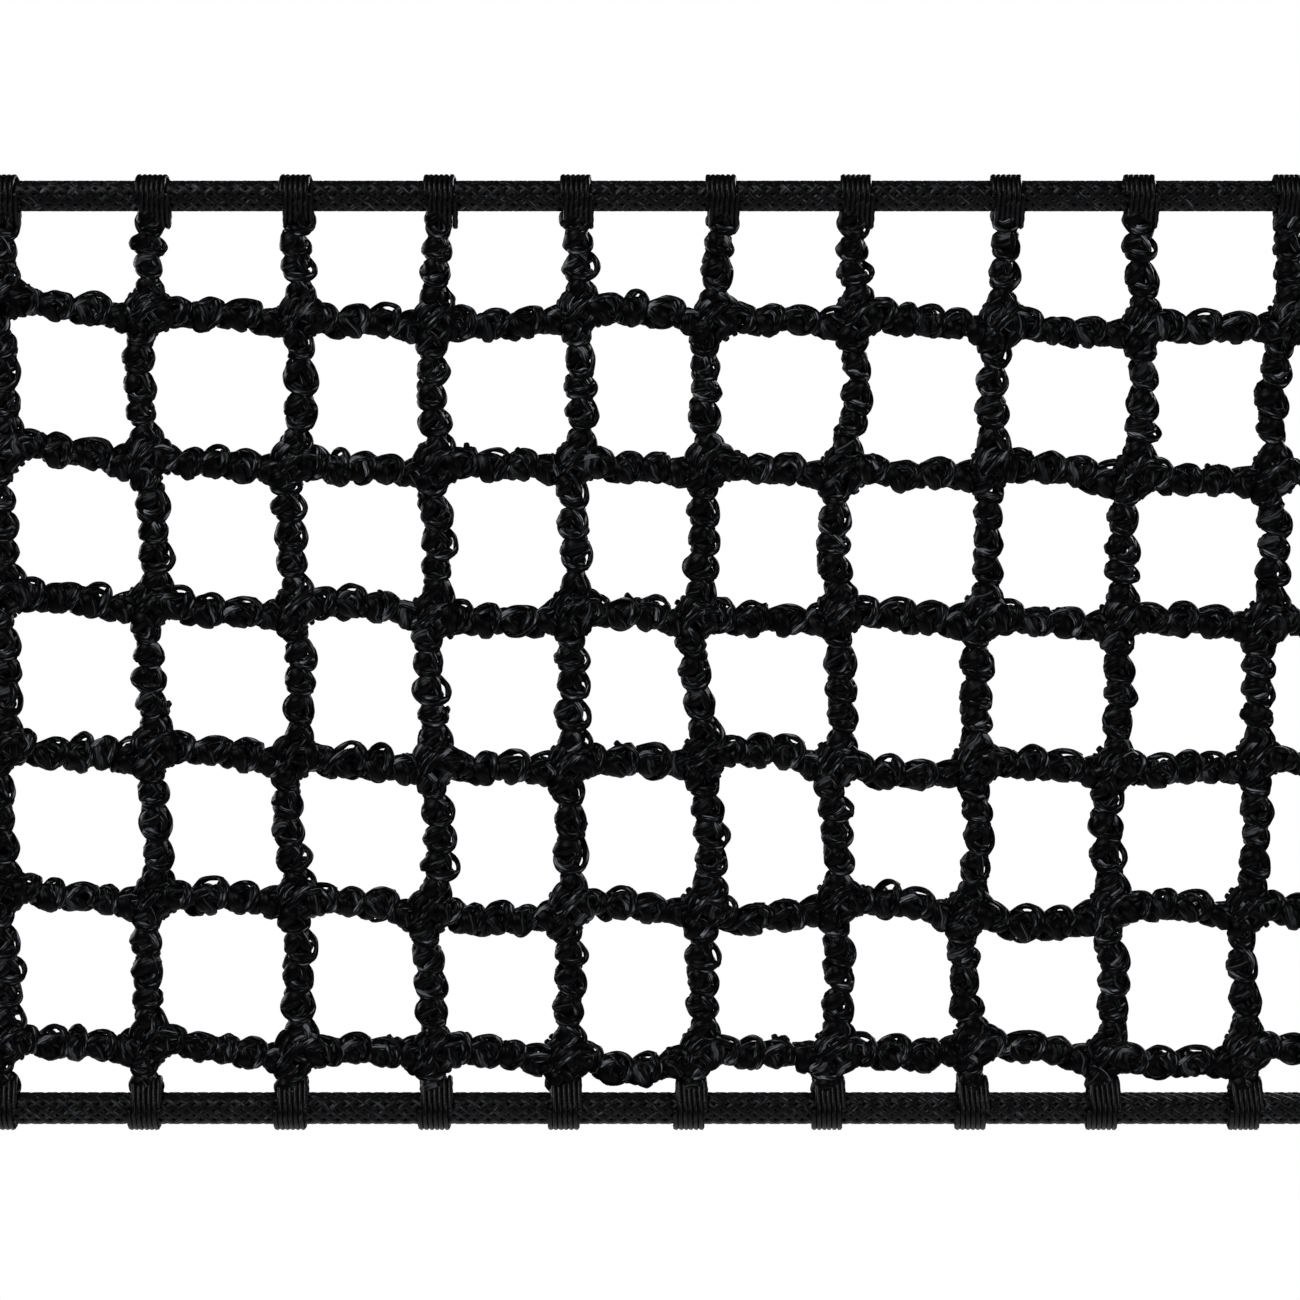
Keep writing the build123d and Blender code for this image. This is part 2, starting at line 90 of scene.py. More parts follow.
RIGHT_TAIL_Z = [-39.3, -87.2, -133.7, -176.1, -223.7, -266.7]
FOLD_Z = [-19.3, -60.8, -106.9, -152.4, -198.5, -243.7]
ROWS, COLS = 6, 10
fold_z = [CZ + z for z in FOLD_Z]


def junction(k, j):
    return np.array([CX + JUNCTION_X[k][j], CZ + JUNCTION_Z[k][j]])


# ---------------------------------------------------------------------------
# Curves and tubes
# ---------------------------------------------------------------------------
def smooth_path(points, n):
    """n points, evenly spaced, on a Catmull-Rom curve through points (any
    number of columns). Ends are mirrored."""
    p = np.asarray(points, float)
    p = np.vstack([2 * p[0] - p[1], p, 2 * p[-1] - p[-2]])
    segs = len(p) - 3
    u = np.linspace(0, segs, n)
    i = np.minimum(u.astype(int), segs - 1)
    f = (u - i)[:, None]
    a, b, c, d = p[i], p[i + 1], p[i + 2], p[i + 3]
    return 0.5 * ((2 * b) + (c - a) * f + (2 * a - 5 * b + 4 * c - d) * f * f + (3 * b - a - 3 * c + d) * f**3)


def even(points, step=None, n=None):
    """The same polyline at even arc length."""
    p = np.asarray(points, float)
    s = np.concatenate([[0], np.cumsum(np.linalg.norm(np.diff(p[:, :3], axis=0), axis=1))])
    if n is None:
        n = max(2, int(round(s[-1] / step)) + 1)
    t = np.linspace(0, s[-1], n)
    return np.stack([np.interp(t, s, p[:, c]) for c in range(p.shape[1])], 1), s[-1]


class Mesh:
    """Collects tubes and makes one Blender mesh of them."""

    def __init__(self, name, material, slot_name):
        self.name, self.material, self.slot_name = name, material, slot_name
        self.v, self.q, self.t, self.uv_q, self.uv_t, self.highlight_tone = [], [], [], [], [], []
        self.n = 0

    def tube(self, pts, a, b, out, sides=12, highlight_tone=0.5, seed=0.0, lobes=0, lobe=0.0, twist=0.0, phase=0.0):
        """A closed tube along pts (N x 3, mm). a is its half width across out,
        b its half depth along out; out (N x 3) points out of the cord's
        surface. lobes ridges of height lobe turn by twist radians a mm."""
        pts = np.asarray(pts, float)
        n = len(pts)
        tangent = np.gradient(pts, axis=0)
        tangent /= np.maximum(np.linalg.norm(tangent, axis=1, keepdims=True), 1e-9)
        o = np.asarray(out, float)
        o = o - (o * tangent).sum(1, keepdims=True) * tangent
        o /= np.maximum(np.linalg.norm(o, axis=1, keepdims=True), 1e-9)
        side = np.cross(tangent, o)
        length = np.concatenate([[0], np.cumsum(np.linalg.norm(np.diff(pts, axis=0), axis=1))])
        a = np.broadcast_to(np.asarray(a, float), (n,))
        b = np.broadcast_to(np.asarray(b, float), (n,))
        th = np.linspace(0, 2 * np.pi, sides, endpoint=False)
        ridge = 1.0
        if lobes:
            ang = lobes * (th[None, :] + phase) + (twist * length)[:, None]
            ridge = 1.0 + lobe * np.cos(ang)[:, :, None]
        ring = (pts[:, None, :] + ridge * (side[:, None, :] * (a[:, None] * np.cos(th)[None, :])[:, :, None]
                                          + o[:, None, :] * (b[:, None] * np.sin(th)[None, :])[:, :, None]))
        base = self.n
        verts = ring.reshape(-1, 3)
        caps = np.stack([pts[0] - tangent[0] * min(a[0], b[0]) * 0.45, pts[-1] + tangent[-1] * min(a[-1], b[-1]) * 0.45])
        self.v += [verts, caps]
        self.n += len(verts) + 2
        i = np.arange(n - 1)[:, None] * sides
        j = np.arange(sides)[None, :]
        k = (j + 1) % sides
        quads = np.stack([i + j, i + k, i + sides + k, i + sides + j], -1).reshape(-1, 4) + base
        self.q.append(quads)
        girth = 2 * np.pi * np.sqrt((a.mean() ** 2 + b.mean() ** 2) / 2)
        u0, u1 = np.arange(sides) / sides * girth + seed * 7.3, (np.arange(sides) + 1) / sides * girth + seed * 7.3
        v = length + seed * 31.7
        uu0, uu1 = np.broadcast_to(u0, (n - 1, sides)), np.broadcast_to(u1, (n - 1, sides))
        v0, v1 = np.broadcast_to(v[:-1, None], (n - 1, sides)), np.broadcast_to(v[1:, None], (n - 1, sides))
        self.uv_q.append(np.stack([np.stack([uu0, v0], -1), np.stack([uu1, v0], -1), np.stack([uu1, v1], -1), np.stack([uu0, v1], -1)], 2).reshape(-1, 2))
        s, e = base + len(verts), base + len(verts) + 1
        j = np.arange(sides)
        k = (j + 1) % sides
        last = base + (n - 1) * sides
        tris = np.concatenate([np.stack([np.full(sides, s), base + k, base + j], 1), np.stack([np.full(sides, e), last + j, last + k], 1)])
        self.t.append(tris)
        mid = (u0 + u1) / 2
        self.uv_t.append(np.concatenate([
            np.stack([np.stack([mid, np.full(sides, v[0] - 0.5)], 1), np.stack([u1, np.full(sides, v[0])], 1), np.stack([u0, np.full(sides, v[0])], 1)], 1),
            np.stack([np.stack([mid, np.full(sides, v[-1] + 0.5)], 1), np.stack([u0, np.full(sides, v[-1])], 1), np.stack([u1, np.full(sides, v[-1])], 1)], 1),
        ]).reshape(-1, 2))
        highlight_tone = np.broadcast_to(np.asarray(highlight_tone, float), (n,))
        self.highlight_tone.append(np.concatenate([np.repeat(highlight_tone, sides), [highlight_tone[0], highlight_tone[-1]]]))

    def build(self):
        verts = np.concatenate(self.v) * MM
        quads, tris = np.concatenate(self.q), np.concatenate(self.t)
        me = bpy.data.meshes.new(self.name)
        me.vertices.add(len(verts))
        me.vertices.foreach_set("co", verts.astype(np.float32).ravel())
        loops = np.concatenate([quads.ravel(), tris.ravel()])
        me.loops.add(len(loops))
        me.loops.foreach_set("vertex_index", loops.astype(np.int32))
        sizes = np.concatenate([np.full(len(quads), 4), np.full(len(tris), 3)])
        starts = np.concatenate([[0], np.cumsum(sizes)[:-1]])
        me.polygons.add(len(sizes))
        me.polygons.foreach_set("loop_start", starts.astype(np.int32))
        me.polygons.foreach_set("use_smooth", np.ones(len(sizes), bool))
        me.update(calc_edges=True)
        uv = me.uv_layers.new(name="strand")
        uv.data.foreach_set("uv", np.concatenate(self.uv_q + self.uv_t).astype(np.float32).ravel())
        at = me.attributes.new("highlight_tone", "FLOAT", "POINT")
        at.data.foreach_set("value", np.concatenate(self.highlight_tone).astype(np.float32))
        me.validate()
        me.materials.append(self.material)
        ob = bpy.data.objects.new(self.name, me)
        bpy.context.scene.collection.objects.link(ob)
        return ob


# ---------------------------------------------------------------------------
# Materials
# ---------------------------------------------------------------------------
class Nodes:
    def __init__(self, name):
        self.m = bpy.data.materials.new(name)
        self.m.use_nodes = True
        self.t = self.m.node_tree
        self.bsdf = self.t.nodes["Principled BSDF"]

    def add(self, kind, **settings):
        n = self.t.nodes.new(kind)
        for key, value in settings.items():
            setattr(n, key, value)
        return n

    def link(self, a, b):
        self.t.links.new(a, b)

    def math(self, op, a, b=None, clamp=False):
        n = self.add("ShaderNodeMath", operation=op, use_clamp=clamp)
        for i, x in enumerate((a, b)):
            if x is None:
                continue
            if isinstance(x, (int, float)):
                n.inputs[i].default_value = x
            else:
                self.link(x, n.inputs[i])
        return n.outputs[0]


def filament_material(name, dark, light, streak_mm, ply_mm, rough, bump_mm, sheen, spec, highlight_share, lean=0.0):
    """Black multi-filament yarn: fine filaments run along each strand, plies
    make soft ridges, and light grey streaks painted into the base colour
    along the filaments stand for their highlights: a painted highlight."""
    m = Nodes(name)
    uv = m.add("ShaderNodeUVMap", uv_map="strand")
    sep = m.add("ShaderNodeSeparateXYZ")
    m.link(uv.outputs["UV"], sep.inputs[0])
    u, v = sep.outputs[0], sep.outputs[1]

    def streaks(width, length, detail, shift):
        c = m.add("ShaderNodeCombineXYZ")
        lean_v = m.math("MULTIPLY", v, lean)
        m.link(m.math("MULTIPLY", m.math("ADD", u, lean_v), 1.0 / width), c.inputs[0])
        m.link(m.math("MULTIPLY", v, 1.0 / length), c.inputs[1])
        c.inputs[2].default_value = shift
        n = m.add("ShaderNodeTexNoise", noise_dimensions="3D")
        n.inputs["Scale"].default_value = 1.0
        n.inputs["Detail"].default_value = detail
        n.inputs["Roughness"].default_value = 0.6
        m.link(c.outputs[0], n.inputs["Vector"])
        return n.outputs[0]

    fine = streaks(streak_mm, streak_mm * 14, 2.0, 0.0)
    coarse = streaks(ply_mm, ply_mm * 7, 1.0, 5.0)
    # per-strand strength of the painted highlight, set where each strand is made
    highlight_tone = m.add("ShaderNodeAttribute", attribute_name="highlight_tone").outputs["Fac"]
    # painted highlight: light grey filament streaks in the base colour
    highlight_streaks = m.add("ShaderNodeMapRange", interpolation_type="SMOOTHSTEP")
    highlight_streaks.inputs["From Min"].default_value = 0.53
    highlight_streaks.inputs["From Max"].default_value = 0.64
    m.link(m.math("ADD", m.math("MULTIPLY", fine, 0.62), m.math("MULTIPLY", coarse, 0.38)), highlight_streaks.inputs["Value"])
    # the painted highlight is broken into patches a few millimetres long
    highlight_patches = m.add("ShaderNodeMapRange", interpolation_type="SMOOTHSTEP")
    highlight_patches.inputs["From Min"].default_value = 0.42
    highlight_patches.inputs["From Max"].default_value = 0.58
    highlight_patches.inputs["To Min"].default_value = 0.07
    m.link(streaks(1.5, 3.4, 1.0, 11.0), highlight_patches.inputs["Value"])
    # strength of the painted highlight: per-strand strength times share times patches
    share = m.math("MULTIPLY", m.math("MULTIPLY", highlight_tone, highlight_share), highlight_patches.outputs[0])
    highlight_amount = m.math("MULTIPLY", highlight_streaks.outputs[0], share, clamp=True)
    # base colour: the yarn's black, with the painted highlight streaks mixed in
    ramp = m.add("ShaderNodeMix", data_type="RGBA")
    ramp.inputs[6].default_value = (*dark, 1)
    ramp.inputs[7].default_value = (*light, 1)
    m.link(highlight_amount, ramp.inputs[0])
    m.link(ramp.outputs[2], m.bsdf.inputs["Base Color"])
    # roughness: the flat of a filament is smoother
    r = m.add("ShaderNodeMapRange")
    r.inputs["To Min"].default_value = rough + 0.12
    r.inputs["To Max"].default_value = rough - 0.10
    m.link(fine, r.inputs["Value"])
    m.link(r.outputs[0], m.bsdf.inputs["Roughness"])
    height = m.math("ADD", m.math("MULTIPLY", fine, 0.45), m.math("MULTIPLY", coarse, 0.9))
    bump = m.add("ShaderNodeBump")
    bump.inputs["Strength"].default_value = 0.9
    bump.inputs["Distance"].default_value = bump_mm * MM
    m.link(height, bump.inputs["Height"])
    m.link(bump.outputs[0], m.bsdf.inputs["Normal"])
    m.bsdf.inputs["Specular IOR Level"].default_value = spec
    m.bsdf.inputs["Sheen Weight"].default_value = sheen
    m.bsdf.inputs["Sheen Roughness"].default_value = 0.45
    m.bsdf.inputs["Sheen Tint"].default_value = (0.75, 0.85, 1.0, 1.0)
    return m.m


# each material's second colour is the painted highlight colour of its filament streaks
knit = filament_material("knitted_multifilament", (0.0006, 0.0007, 0.0009), (0.215, 0.226, 0.247), 0.52, 1.30, 0.42, 0.60, 0.002, 0.06, 0.90)
rope_mat = filament_material("braided_rope", (0.0010, 0.0011, 0.0013), (0.095, 0.100, 0.112), 0.36, 0.90, 0.45, 0.25, 0.003, 0.12, 0.9)
twine_mat = filament_material("waxed_twine", (0.0010, 0.0010, 0.0012), (0.060, 0.062, 0.070), 0.30, 0.60, 0.36, 0.16, 0.003, 0.16, 0.7, lean=0.9)


def steel_material():
    m = Nodes("satin_steel")
    geo = m.add("ShaderNodeTexCoord")
    scratch = m.add("ShaderNodeTexNoise")
    mp = m.add("ShaderNodeMapping")
    mp.inputs["Scale"].default_value = (900, 60, 900)
    m.link(geo.outputs["Object"], mp.inputs["Vector"])
    m.link(mp.outputs[0], scratch.inputs["Vector"])
    scratch.inputs["Scale"].default_value = 1.0
    scratch.inputs["Detail"].default_value = 4.0
    blot = m.add("ShaderNodeTexNoise")
    blot.inputs["Scale"].default_value = 160.0
    m.link(geo.outputs["Object"], blot.inputs["Vector"])
    col = m.add("ShaderNodeMix", data_type="RGBA")
    col.inputs[6].default_value = (0.42, 0.42, 0.43, 1)
    col.inputs[7].default_value = (0.60, 0.60, 0.61, 1)
    m.link(blot.outputs[0], col.inputs[0])
    m.link(col.outputs[2], m.bsdf.inputs["Base Color"])
    r = m.add("ShaderNodeMapRange")
    r.inputs["To Min"].default_value = 0.24
    r.inputs["To Max"].default_value = 0.46
    m.link(scratch.outputs[0], r.inputs["Value"])
    m.link(r.outputs[0], m.bsdf.inputs["Roughness"])
    bump = m.add("ShaderNodeBump")
    bump.inputs["Strength"].default_value = 0.25
    bump.inputs["Distance"].default_value = 0.00008
    m.link(scratch.outputs[0], bump.inputs["Height"])
    m.link(bump.outputs[0], m.bsdf.inputs["Normal"])
    m.bsdf.inputs["Metallic"].default_value = 1.0
    return m.m


# ---------------------------------------------------------------------------
# Knitted chain: loops of flattened yarn along a line in the net's plane
# ---------------------------------------------------------------------------
D = np.array([0.0, -1.0, 0.0])      # towards the net's front


class Line2:
    """A smooth line in the net's plane (x, z in mm, with depth y), by length."""

    def __init__(self, pts, y=None):
        p = np.asarray(pts, float)
        if y is None:
            y = np.zeros(len(p))
        q = smooth_path(np.column_stack([p[:, 0], y, p[:, 1]]), 160)
        self.p, self.length = even(q, n=200)
        self.s = np.linspace(0, self.length, 200)
        t = np.gradient(self.p, axis=0)
        self.t = t / np.linalg.norm(t, axis=1, keepdims=True)

    def at(self, s):
        s = np.asarray(s, float)
        c = np.clip(s, 0, self.length)
        p = np.stack([np.interp(c, self.s, self.p[:, i]) for i in range(3)], -1)
        t = np.stack([np.interp(c, self.s, self.t[:, i]) for i in range(3)], -1)
        t /= np.linalg.norm(t, axis=-1, keepdims=True)
        return p + t * (s - c)[..., None], t


def place(line, s, w, d):
    """World points of (s along, w across, d out) and the outward direction."""
    p, t = line.at(s)
    wv = np.stack([-t[:, 2], np.zeros(len(t)), t[:, 0]], 1)
    return p + wv * w[:, None] + D * d[:, None], wv * (w * 0.55)[:, None] + D * d[:, None]


# Strands of one stitch: (t of the pitch, w across, d out, half width, half depth)
PILLOW = [(0.34, 2.0, -2.0, 1.1, 1.0), (0.20, 1.9, 0.2, 1.7, 1.3), (0.22, 0.5, 2.2, 2.3, 1.6), (0.34, -1.6, 2.8, 2.8, 1.75),
          (0.46, -3.2, 1.8, 2.6, 1.6), (0.53, -4.2, 0.0, 2.0, 1.4), (0.58, -3.4, -2.0, 1.2, 1.0)]
HEAD = [(0.54, -3.0, -1.4, 0.8, 0.7), (0.72, -3.9, 0.2, 1.0, 0.75), (0.89, -3.0, 2.1, 1.15, 0.8), (1.00, -1.1, 3.1, 1.2, 0.85), (1.04, 0.9, 3.1, 1.2, 0.85),
        (0.99, 2.7, 2.3, 1.1, 0.8), (0.86, 4.2, 1.2, 0.95, 0.72), (0.64, 4.9, 0.4, 0.88, 0.68), (0.40, 4.5, -0.5, 0.85, 0.66), (0.18, 3.2, -1.4, 0.85, 0.66), (-0.04, 1.3, -2.2, 0.75, 0.6)]
CORE = [(-0.14, -2.4, 0.6, 1.0, 0.9), (0.02, -1.0, 2.1, 1.4, 1.0), (0.22, 0.8, 2.9, 1.55, 1.1), (0.48, 1.9, 2.5, 1.5, 1.05), (0.76, 2.3, 1.2, 1.2, 0.9), (1.0, 1.6, -0.2, 0.8, 0.7)]
FILL = [(-0.1, -0.2, -0.1, 2.2, 1.8), (0.25, -0.5, 0.0, 2.45, 2.1), (0.55, -0.6, 0.0, 2.5, 2.1), (0.85, -0.2, 0.0, 2.45, 2.0), (1.1, -0.1, -0.1, 2.2, 1.7)]
BACK1 = [(0.30, 1.9, 1.6, 1.1, 1.0), (0.22, 1.7, -0.4, 1.7, 1.3), (0.26, 0.4, -2.3, 2.3, 1.6), (0.40, -1.5, -2.9, 2.7, 1.7),
         (0.54, -3.0, -1.8, 2.5, 1.5), (0.62, -3.7, 0.0, 1.8, 1.3), (0.64, -2.3, 1.5, 1.0, 0.9)]
BACK2 = [(0.68, -1.9, 0.9, 0.8, 0.7), (0.80, -3.6, -0.3, 1.0, 0.75), (0.93, -2.8, -2.2, 1.2, 0.85), (1.02, -0.9, -3.1, 1.25, 0.9), (1.03, 0.9, -3.1, 1.25, 0.9),
         (0.97, 2.3, -2.2, 1.15, 0.85), (0.87, 3.0, -0.8, 0.95, 0.72), (0.80, 1.9, 0.3, 0.85, 0.68)]
BACK3 = [(-0.10, 1.9, -0.6, 1.0, 0.9), (0.06, 0.8, -2.2, 1.4, 1.0), (0.26, -0.8, -3.0, 1.55, 1.1), (0.50, -1.9, -2.7, 1.5, 1.05), (0.78, -2.2, -1.3, 1.2, 0.9), (1.0, -1.4, 0.2, 0.8, 0.7)]
WISP = [(0.70, -2.9, 1.2, 0.7, 0.55), (0.80, -1.8, 2.7, 0.95, 0.65), (0.76, 0.0, 3.5, 1.0, 0.7), (0.62, 1.7, 3.2, 0.95, 0.65), (0.46, 2.9, 1.9, 0.8, 0.6), (0.36, 3.4, 0.3, 0.6, 0.5)]


def strand(mesh, line, s0, pitch, table, rng, flip=1.0, narrow=1.0, sides=12, n=18, highlight_tone=0.5, jit=0.22, lobes=3, lobe=0.09, depth=1.0,
           roll=0.0, turn=0.0, shift=0.0, off=0.0):
    t = np.asarray(table, float).copy()
    t[:, 0] += shift
    t[:, 1] += rng.normal(0, jit, len(t))
    t[:, 2] += rng.normal(0, jit * 0.7, len(t))
    t[:, 0] += rng.normal(0, jit * 0.09, len(t))
    q = smooth_path(t, n)
    w, d = q[:, 1] * flip, q[:, 2] * depth
    w, d = w * math.cos(roll) - d * math.sin(roll), w * math.sin(roll) + d * math.cos(roll)
    along = (q[:, 0] - 0.5) * pitch
    along, w = along * math.cos(turn) - w * math.sin(turn), along * math.sin(turn) + w * math.cos(turn)
    w = w * narrow + off
    p, out = place(line, s0 + 0.5 * pitch + along, w, d)
    wave = 1.0 + 0.05 * np.sin(np.linspace(0, 1, n) * rng.uniform(4, 11) + rng.uniform(0, 6.28)) + rng.normal(0, 0.04)
    mesh.tube(p, q[:, 3] * wave, q[:, 4] * wave, out, sides=sides, highlight_tone=highlight_tone, seed=float(rng.random()), lobes=lobes, lobe=lobe,
              twist=rng.uniform(-0.45, 0.45), phase=rng.uniform(0, 6.28))


def stitch(mesh, line, s0, pitch, rng, narrow=1.0, roll=0.0, fill=1.15, over=(-0.50, -0.05)):
    """One stitch of the chain: a fat loop across the front that bulges on one
    side, the loop's head below it that ends in a thin arc on the other side,
    and the same on the back half a pitch on."""
    w = narrow * rng.uniform(0.89, 1.10)
    roll = roll + rng.normal(0, 0.12)
    turn = rng.normal(0, 0.13)
    kw = dict(narrow=w, roll=roll, turn=turn, off=rng.normal(0, 0.35))
    back = dict(kw, shift=rng.uniform(*over))
    # painted highlight strength per strand: strong on loop heads, arcs and cores, weak on the pillows and on the body
    # behind them
    body = np.asarray(FILL, float).copy()
    body[:, 3] *= fill * rng.uniform(0.92, 1.08)
    strand(mesh, line, s0, pitch, body, rng, narrow=w, sides=14, n=8, highlight_tone=rng.uniform(0.2, 0.6), jit=0.25, lobes=5, lobe=0.07, off=kw["off"])
    strand(mesh, line, s0, pitch, BACK1, rng, sides=14, n=16, highlight_tone=rng.uniform(0.03, 0.4), jit=0.25, lobes=5, lobe=0.06, **back)
    strand(mesh, line, s0, pitch, BACK2, rng, sides=10, n=18, highlight_tone=rng.uniform(0.7, 1.3), jit=0.15, **back)
    strand(mesh, line, s0, pitch, BACK3, rng, sides=10, n=14, highlight_tone=rng.uniform(0.5, 1.1), jit=0.25, **back)
    strand(mesh, line, s0, pitch, PILLOW, rng, sides=16, n=18, highlight_tone=rng.uniform(0.0, 0.4), jit=0.30, lobes=5, lobe=0.06, **kw)
    strand(mesh, line, s0, pitch, CORE, rng, sides=12, n=16, highlight_tone=rng.uniform(0.5, 1.1), jit=0.25, **kw)
    # the loop's head: two plies side by side
    head = np.asarray(HEAD, float).copy()
    bulge = rng.uniform(0.78, 1.10)
    right = head[:, 1] > 2.0
    head[right, 1] *= bulge
    strand(mesh, line, s0, pitch, head, rng, sides=10, n=28, highlight_tone=rng.uniform(0.8, 1.5), jit=0.14, lobes=2, **kw)
    second = head.copy()
    over = (np.abs(second[:, 1]) < 3.4) & (second[:, 2] > 0)
    second[over, 0] -= rng.uniform(0.13, 0.20)
    second[~over, 0] += 0.05
    second[:, 1] *= 0.90
    second[:, 2] -= rng.uniform(-0.15, 0.45)
    strand(mesh, line, s0, pitch, second, rng, sides=10, n=26, highlight_tone=rng.uniform(0.5, 1.3), jit=0.18, lobes=2, **kw)
    if rng.random() < 0.55:
        strand(mesh, line, s0, pitch, WISP, rng, sides=8, n=14, highlight_tone=rng.uniform(0.7, 1.5), jit=0.28, lobes=0, **kw)
    if rng.random() < 0.30:
        # a small arc on the fat side as well
        extra = [(0.98, -1.2, 2.4, 0.8, 0.6), (0.86, -3.6, 1.6, 0.85, 0.62), (0.62, -5.2, 0.6, 0.8, 0.6), (0.34, -4.9, -0.5, 0.8, 0.6), (0.12, -2.8, -1.4, 0.7, 0.6)]
        strand(mesh, line, s0, pitch, extra, rng, sides=8, n=16, highlight_tone=rng.uniform(0.6, 1.3), jit=0.2, lobes=0, **kw)


def chain(mesh, line, rng, pitch, narrow_ends=(0.90, 0.90), wide=1.0, **style):
    """Stitches along a line."""
    n = max(1, int(round(line.length / pitch)))
    cuts = np.linspace(0, line.length, n + 1)
    cuts[1:-1] += np.clip(rng.normal(0, pitch * 0.10, n - 1), -0.2 * pitch, 0.2 * pitch)
    roll = rng.normal(0, 0.15)
    for i in range(n):
        s0, s1 = cuts[i], cuts[i + 1]
        e = min((s0 + s1) / 2, line.length - (s0 + s1) / 2)
        near = narrow_ends[0] if (s0 + s1) / 2 < line.length / 2 else narrow_ends[1]
        narrow = near + (1.0 - near) * min(1.0, e / 9.0)
        roll = 0.6 * roll + rng.normal(0, 0.14)
        stitch(mesh, line, s0, s1 - s0, rng, narrow=narrow * wide, roll=roll, **style)


